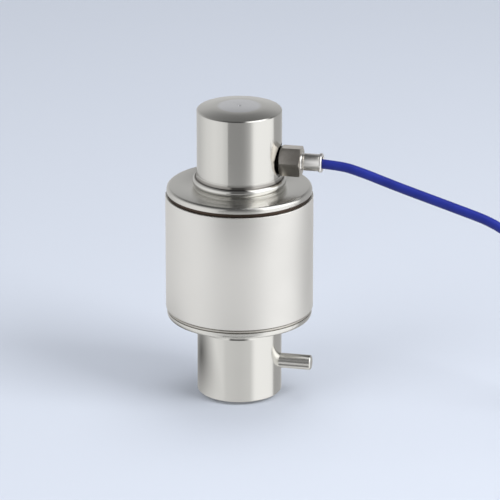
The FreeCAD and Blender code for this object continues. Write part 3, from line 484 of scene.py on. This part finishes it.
def lathe_lines(tree, shader, per_metre, depth, roughness, spread, blur, turn=0.25):
    """Fine turned lines: they run round the axis, on the walls and on the faces alike.
    blur is how much more they spread a reflection across them than along them."""
    shader.inputs["Anisotropic"].default_value = blur
    shader.inputs["Anisotropic Rotation"].default_value = turn
    along_turn = add(tree, "ShaderNodeTangent", direction_type="RADIAL", axis="Z")
    tree.links.new(along_turn.outputs[0], shader.inputs["Tangent"])
    parts = object_parts(tree)
    flat = add(tree, "ShaderNodeCombineXYZ", {"X": parts["X"], "Y": parts["Y"]})
    radius = add(tree, "ShaderNodeVectorMath", {0: flat.outputs[0]}, operation="LENGTH")
    along = add(tree, "ShaderNodeMath", {0: parts["Z"], 1: radius.outputs["Value"]},
                operation="ADD")
    lines = add(tree, "ShaderNodeTexNoise", {"W": along.outputs[0], "Scale": per_metre,
                                             "Detail": 2.0}, noise_dimensions="1D")
    bump(tree, shader, lines.outputs["Fac"], depth)
    patches = speckle(tree, 45.0, 4.0)
    varied = add(tree, "ShaderNodeMapRange", {"Value": patches, "From Min": 0.3, "From Max": 0.7,
                                              "To Min": roughness - spread,
                                              "To Max": roughness + spread})
    tree.links.new(varied.outputs[0], shader.inputs["Roughness"])
    return radius.outputs["Value"]


# Load column: one bar of hardened stainless steel, turned, then ground bright on its ends.
# Its faces are rounded so that the cell can rock, with a polished flat spot in the middle.
column_steel, tree, shader = material("ground stainless steel", "#dddcd8", 1.0, 0.15)
reach = lathe_lines(tree, shader, per_metre=1900.0, depth=0.0000016, roughness=0.15,
                    spread=0.03, blur=0.6)
spot_inner, spot_outer = 0.0094, 0.0114
spot = add(tree, "ShaderNodeMapRange", {"Value": reach, "From Min": spot_inner,
                                        "From Max": spot_outer, "To Min": 1.0, "To Max": 0.0})
worn = ramp(tree, spot.outputs[0], [(0.0, "#dddcd8"), (1.0, "#eaebef")])
tree.links.new(worn.outputs[0], shader.inputs["Base Color"])
column = merged_copy("load_column", "column")
column.data.materials.append(column_steel)
settle(column, "column_steel", "load_column")


# Housing: a tube of stainless steel with two turned caps, all with a fine satin finish.
# Each cap is pushed into the tube and onto the column's flange, and its thin web can flex.
satin_steel, tree, shader = material("satin stainless steel", "#f0efec", 1.0, 0.44)
lathe_lines(tree, shader, per_metre=1500.0, depth=0.000001, roughness=0.42, spread=0.03,
            blur=0.65, turn=0.0)
sleeve = turned("sleeve", [
    (34.4, 46.0), (34.7, 45.7), (36.3, 45.7), (36.6, 46.0),
    (36.6, 104.0), (36.3, 104.3), (34.7, 104.3), (34.4, 104.0)], steps=256)
sleeve.data.materials.append(satin_steel)
settle(sleeve, "housing_steel", "housing_sleeve")

cap_steel, tree, shader = material("fine turned stainless steel", "#dfdeda", 1.0, 0.24)
lathe_lines(tree, shader, per_metre=1600.0, depth=0.0000012, roughness=0.23, spread=0.03,
            blur=0.85)
shoulder_up, shoulder_down = 109.1, 40.9
seat_bore = 21.03


def end_piece(name, shape, upper, **options):
    """A turned piece given by its height over the upper shoulder, or mirrored at the lower one."""
    level, way = (shoulder_up, 1.0) if upper else (shoulder_down, -1.0)
    return turned(name, [(r, level + way * z) for r, z in shape], **options)


cap_shape = ([(seat_bore, 0.0), (seat_bore, -3.5), (24.0, -3.5), (24.0, -1.0), (32.17, -1.0),
              (32.17, -11.0), (34.37, -11.0), (34.37, -3.0), (36.0, -3.0)]
             + rounded((36.0, -1.8), (35.4728, -0.5272), (34.2, 0.0)))
for end in ("upper", "lower"):
    cap = end_piece(f"{end}_housing_cap", cap_shape, end == "upper", steps=256, edge=0.00008)
    cap.data.materials.append(cap_steel)
    settle(cap, "housing_steel", f"{end}_cap")


# Seam rings: the laser-welded seams between the caps and the tube, with the scales of a weld.
# The upper one is sunk and painted brown-black, a weld's tint plus painted shade of its groove; the
# lower one was dressed bright, nearly flush.
upper_seam_shape = [(34.4, -3.0), (34.4, -4.8), (35.2, -4.8), (35.45, -4.5),
                    (35.5, -3.9), (35.45, -3.3), (35.2, -3.0)]
lower_seam_shape = [(34.4, -3.0), (34.4, -4.8), (34.8, -4.8), (35.1, -4.5), (35.9, -4.4),
                    (36.15, -4.15), (36.15, -3.65), (35.9, -3.4), (35.1, -3.3), (34.8, -3.0)]
# The upper seam's brown-black colour is partly painted shade of its sunk groove.
for end, shape, colour in (("upper", upper_seam_shape, "#4d423b"),
                           ("lower", lower_seam_shape, "#cfccc6")):
    seam_steel, tree, shader = material(f"welded steel seam {end}", colour, 1.0, 0.38)
    bump(tree, shader, speckle(tree, 420.0, 2.0, (1.0, 1.0, 0.4)), 0.00012)
    seam = end_piece(f"{end}_seam", shape, end == "upper", edge=0.0)
    seam.data.materials.append(seam_steel)
    settle(seam, "seam_steel", f"{end}_seam_ring")


# Neck rings: polished rounded beads that close the gap between the caps and the load ends.
# Each is a bead on a low collar with a small fillet; the upper fillet is painted darker grey, as
# painted shade in its crease.
bright_steel, tree, shader = material("polished stainless steel", "#dddcd8", 1.0, 0.08)
lathe_lines(tree, shader, per_metre=2500.0, depth=0.0000008, roughness=0.08, spread=0.02,
            blur=0.3)
# The fillet above the upper bead is painted darker grey, as painted shade in its crease.
shade_low, shade_high = 0.1133, 0.1158
weld = add(tree, "ShaderNodeMapRange", {"Value": object_parts(tree)["Z"], "From Min": shade_low,
                                        "From Max": shade_high})
painted_fillet_shade = ramp(tree, weld.outputs[0], [(0.0, "#dddcd8"), (0.1, "#8b8884"), (0.55, "#a5a29e"),
                                    (1.0, "#dddcd8")])
tree.links.new(painted_fillet_shade.outputs[0], shader.inputs["Base Color"])
upper_ring_shape = ([(seat_bore, 0.0), (22.2, 0.0), (22.3, 0.1), (22.3, 0.5)]
                    + rounded((22.5, 0.7), (23.2, 2.3), (22.8, 3.9), 14)
                    + [(21.95, 4.65), (21.6, 4.35)]
                    + rounded((21.5, 4.9), (21.3, 5.5), (21.14, 6.6), 8)
                    + [(seat_bore, 6.6)])
lower_ring_shape = ([(seat_bore, 0.0), (21.95, 0.0), (22.05, 0.1), (22.05, 0.95)]
                    + rounded((21.8, 1.2), (23.0, 2.85), (22.4, 4.65), 12)
                    + rounded((22.4, 4.65), (21.75, 4.95), (21.55, 5.3), 6)[1:]
                    + [(21.2, 6.4), (seat_bore, 6.4)])
for end, shape in (("upper", upper_ring_shape), ("lower", lower_ring_shape)):
    ring = end_piece(f"{end}_bead", shape, end == "upper", edge=0.0)
    ring.data.materials.append(bright_steel)
    settle(ring, "neck_steel", f"{end}_neck_ring")


def laid_out(distance, level):
    """The matrix that points a turned piece away from the column along the gland's direction."""
    turn = Matrix.Rotation(lead_turn, 4, "Z") @ Matrix.Rotation(math.pi / 2, 4, "Y")
    return Matrix.Translation(lead_way * distance + Vector((0.0, 0.0, level))) @ turn


# Gland: a hexagon nipple of nickel-plated brass, screwed into a spot face of the column.
# A turned neck and both bevels are cut on the hexagon bar; the plating is dull and greyish.
# The neck is painted near black, as painted shade in the recess between the spot face and the
# hexagon.
plated, tree, shader = material("nickel-plated brass", "#ccc7bf", 1.0, 0.24)
shade = ramp(tree, speckle(tree, 120.0, 4.0), [(0.3, "#c3bdb5"), (0.7, "#d8d3cc")])
place = add(tree, "ShaderNodeTexCoord")
outward = add(tree, "ShaderNodeVectorMath", {0: place.outputs["Object"], 1: lead_way},
              operation="DOT_PRODUCT")
# The neck near the column is painted near black, as painted shade in its recess.
shaded_neck_end = 0.02095
in_neck_shade = add(tree, "ShaderNodeMath", {0: outward.outputs["Value"], 1: shaded_neck_end},
             operation="LESS_THAN")
tinted = add(tree, "ShaderNodeMix", {0: in_neck_shade.outputs[0], 6: shade.outputs[0],
                                     7: linear("#171514")}, data_type="RGBA")
tree.links.new(tinted.outputs[2], shader.inputs["Base Color"])
bump(tree, shader, speckle(tree, 1500.0, 3.0), 0.000006)
spot_face = 0.0192
hexagon_flats, hexagon_turn = 0.014, math.radians(-6.0)
bar_length, bar_middle = 0.022, 0.0032
hexagon_crease, hexagon_edge = 24.0, 0.00018
nipple_way = laid_out(spot_face, gland_level)
nipple = turned("gland_nipple", [
    (2.3, -5.8), (5.0, -5.8), (5.0, 0.0), (5.5, 0.0), (5.5, 1.18), (6.7, 1.18), (6.7, 0.0),
    (6.9, 0.0), (6.9, 1.7), (8.3, 2.5), (8.3, 11.7), (7.0, 12.2), (4.28, 12.2), (4.28, 4.2),
    (2.3, 4.2)], steps=96, edge=0.0, way=nipple_way)
bpy.ops.object.select_all(action="DESELECT")
bpy.ops.mesh.primitive_cylinder_add(vertices=6, depth=bar_length,
                                    radius=hexagon_flats / 2 / math.cos(math.pi / 6))
bar = bpy.context.object
bar.data.transform(nipple_way @ Matrix.Translation((0.0, 0.0, bar_middle))
                   @ Matrix.Rotation(hexagon_turn, 4, "Z"))
only(nipple)
cut = nipple.modifiers.new("hexagon", "BOOLEAN")
cut.operation = "INTERSECT"
cut.solver = "EXACT"
cut.object = bar
bpy.ops.object.modifier_apply(modifier=cut.name)
bpy.data.objects.remove(bar)
finish_shape(nipple, hexagon_crease, hexagon_edge)
nipple.data.materials.append(plated)
settle(nipple, "gland_metal", "gland_body")


# Crimp sleeve: a drawn tube of bright stainless steel, pressed on the cable's screen.
# It has a rounded neck beside the hexagon and a raised rim at its mouth.
crimp_steel = grained("drawn stainless steel", "#f8f7f5", 1.0, 0.34, 1800.0, 0.000003, 2.0)
counterbore_bottom = 0.0264
crimp_shape = ([(3.2, 0.0), (4.25, 0.0), (4.25, 4.9)]
               + rounded((4.25, 5.0), (3.95, 5.8), (4.25, 6.6), 8)
               + [(4.25, 13.2)]
               + rounded((4.7, 14.1), (4.82, 14.55), (4.7, 15.0), 6)
               + [(4.45, 15.3), (4.2, 15.4), (3.5, 15.4), (3.2, 15.1)])
crimp = turned("crimped_tube", crimp_shape, steps=96, edge=0.0,
               way=laid_out(counterbore_bottom, gland_level))
crimp.data.materials.append(crimp_steel)
settle(crimp, "crimp_metal", "crimp_sleeve")


# Anti-rotation pin: a ground dowel pin of stainless steel, pressed into the lower load end.
# Both of its ends are bevelled.
pin_steel = grained("ground dowel steel", "#e2e1dd", 1.0, 0.27, 2000.0, 0.000002, 2.0)
pin_start, pin_level = 0.009, 0.0177
pin = turned("dowel_pin", [(0.0, 0.0), (3.15, 0.0), (3.75, 0.6), (3.75, 27.0), (3.6, 27.3),
                           (3.15, 27.6), (0.0, 27.6)], steps=96, edge=0.0,
             way=laid_out(pin_start, pin_level))
pin.data.materials.append(pin_steel)
settle(pin, "pin_steel", "anti_rotation_pin")


def dress(node, made):
    """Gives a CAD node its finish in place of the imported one."""
    nodes[node].data.materials.clear()
    nodes[node].data.materials.append(made)


# Rubber parts: moulded nitrile rubber with a matt skin, in the gland and at its face.
rubber = grained("moulded nitrile rubber", "#1a1a1b", 0.0, 0.62, 2500.0, 0.00001, IOR=1.52)
for node in ("gland_o_ring", "cable_seal", "cable_bush"):
    dress(node, rubber)


# Inside: foil gauges on polyimide film, terminal strips and a circuit board on spacers.
# They sit in the sealed housing, with enamelled wires down to the board.
film, tree, shader = material("polyimide film gauge", "#b9792c", 0.0, 0.35, IOR=1.6)
tone = ramp(tree, speckle(tree, 700.0, 1.0, (1.0, 1.0, 6.0)), [(0.45, "#b9792c"), (0.55, "#8f8a80")])
tree.links.new(tone.outputs[0], shader.inputs["Base Color"])
laminate = grained("glass-epoxy laminate", "#a3a05c", 0.0, 0.4, 1500.0, 0.00001, IOR=1.52)
resist, tree, shader = material("green solder resist", "#0f5a2c", 0.0, 0.3, IOR=1.5)
tone = ramp(tree, speckle(tree, 350.0, 1.0), [(0.5, "#0f5a2c"), (0.56, "#1c7a40")])
tree.links.new(tone.outputs[0], shader.inputs["Base Color"])
lacquer = grained("lacquered resistance wire", "#7c3c1c", 0.2, 0.28, 2200.0, 0.00003)
nylon = grained("natural polyamide", "#dcd8cc", 0.0, 0.45, 1200.0, 0.00001, IOR=1.53)
screw_steel = grained("passivated screw steel", "#a8a6a0", 1.0, 0.28, 1500.0, 0.00001)
enamel = grained("red wire enamel", "#a01d18", 0.0, 0.3, 900.0, 0.00001, IOR=1.5)
core_skin = grained("white core sheath", "#cfcdc6", 0.0, 0.4, 900.0, 0.00001, IOR=1.5)
for node, made in (("axial_gauges", film), ("cross_gauges", film), ("solder_terminals", laminate),
                   ("balance_board", resist), ("trim_resistors", lacquer),
                   ("board_spacers", nylon), ("channel_bush", nylon),
                   ("board_screws", screw_steel), ("gauge_wires", enamel),
                   ("cable_cores", core_skin)):
    dress(node, made)


# Ties: two straps of woven hook tape round the coil, black and matt.
strap, tree, shader = material("woven hook tape", "#18181a", 0.0, 0.85)
shader.inputs["Sheen Weight"].default_value = 0.2
bump(tree, shader, speckle(tree, 1400.0, 2.0, (1.0, 1.0, 2.0)), 0.0001)
strap_crease, strap_edge = 40.0, 0.0003
ties = merged_copy("coil_ties", "coil_straps", strap_crease)
finish_shape(ties, strap_crease, strap_edge)
ties.data.materials.append(strap)
settle(ties, "tie_fabric", "coil_ties")


# Cable end: a shrink sleeve where the sheath is cut back, six cores and their tinned ferrules.
shrink = grained("polyolefin shrink tube", "#141414", 0.0, 0.5, 500.0, 0.00005, IOR=1.5)
tin = grained("tinned copper ferrule", "#c9c6bf", 1.0, 0.25, 1800.0, 0.00001)
cores, tree, shader = material("coloured core sheath", "#d8d4c8", 0.0, 0.38, IOR=1.5)
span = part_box("end_cores")
across = add(tree, "ShaderNodeMapRange", {"Value": object_parts(tree)["X"],
                                          "From Min": span[0].x, "From Max": span[1].x})
tones = ramp(tree, across.outputs[0], [(0.0, "#b3231c"), (0.2, "#1f7a35"), (0.4, "#e2c331"),
                                       (0.6, "#22211f"), (0.8, "#2b49a8"), (1.0, "#dedbd2")])
tones.color_ramp.interpolation = "CONSTANT"
tree.links.new(tones.outputs[0], shader.inputs["Base Color"])
dress("end_sleeve", shrink)
dress("end_cores", cores)
dress("end_ferrules", tin)
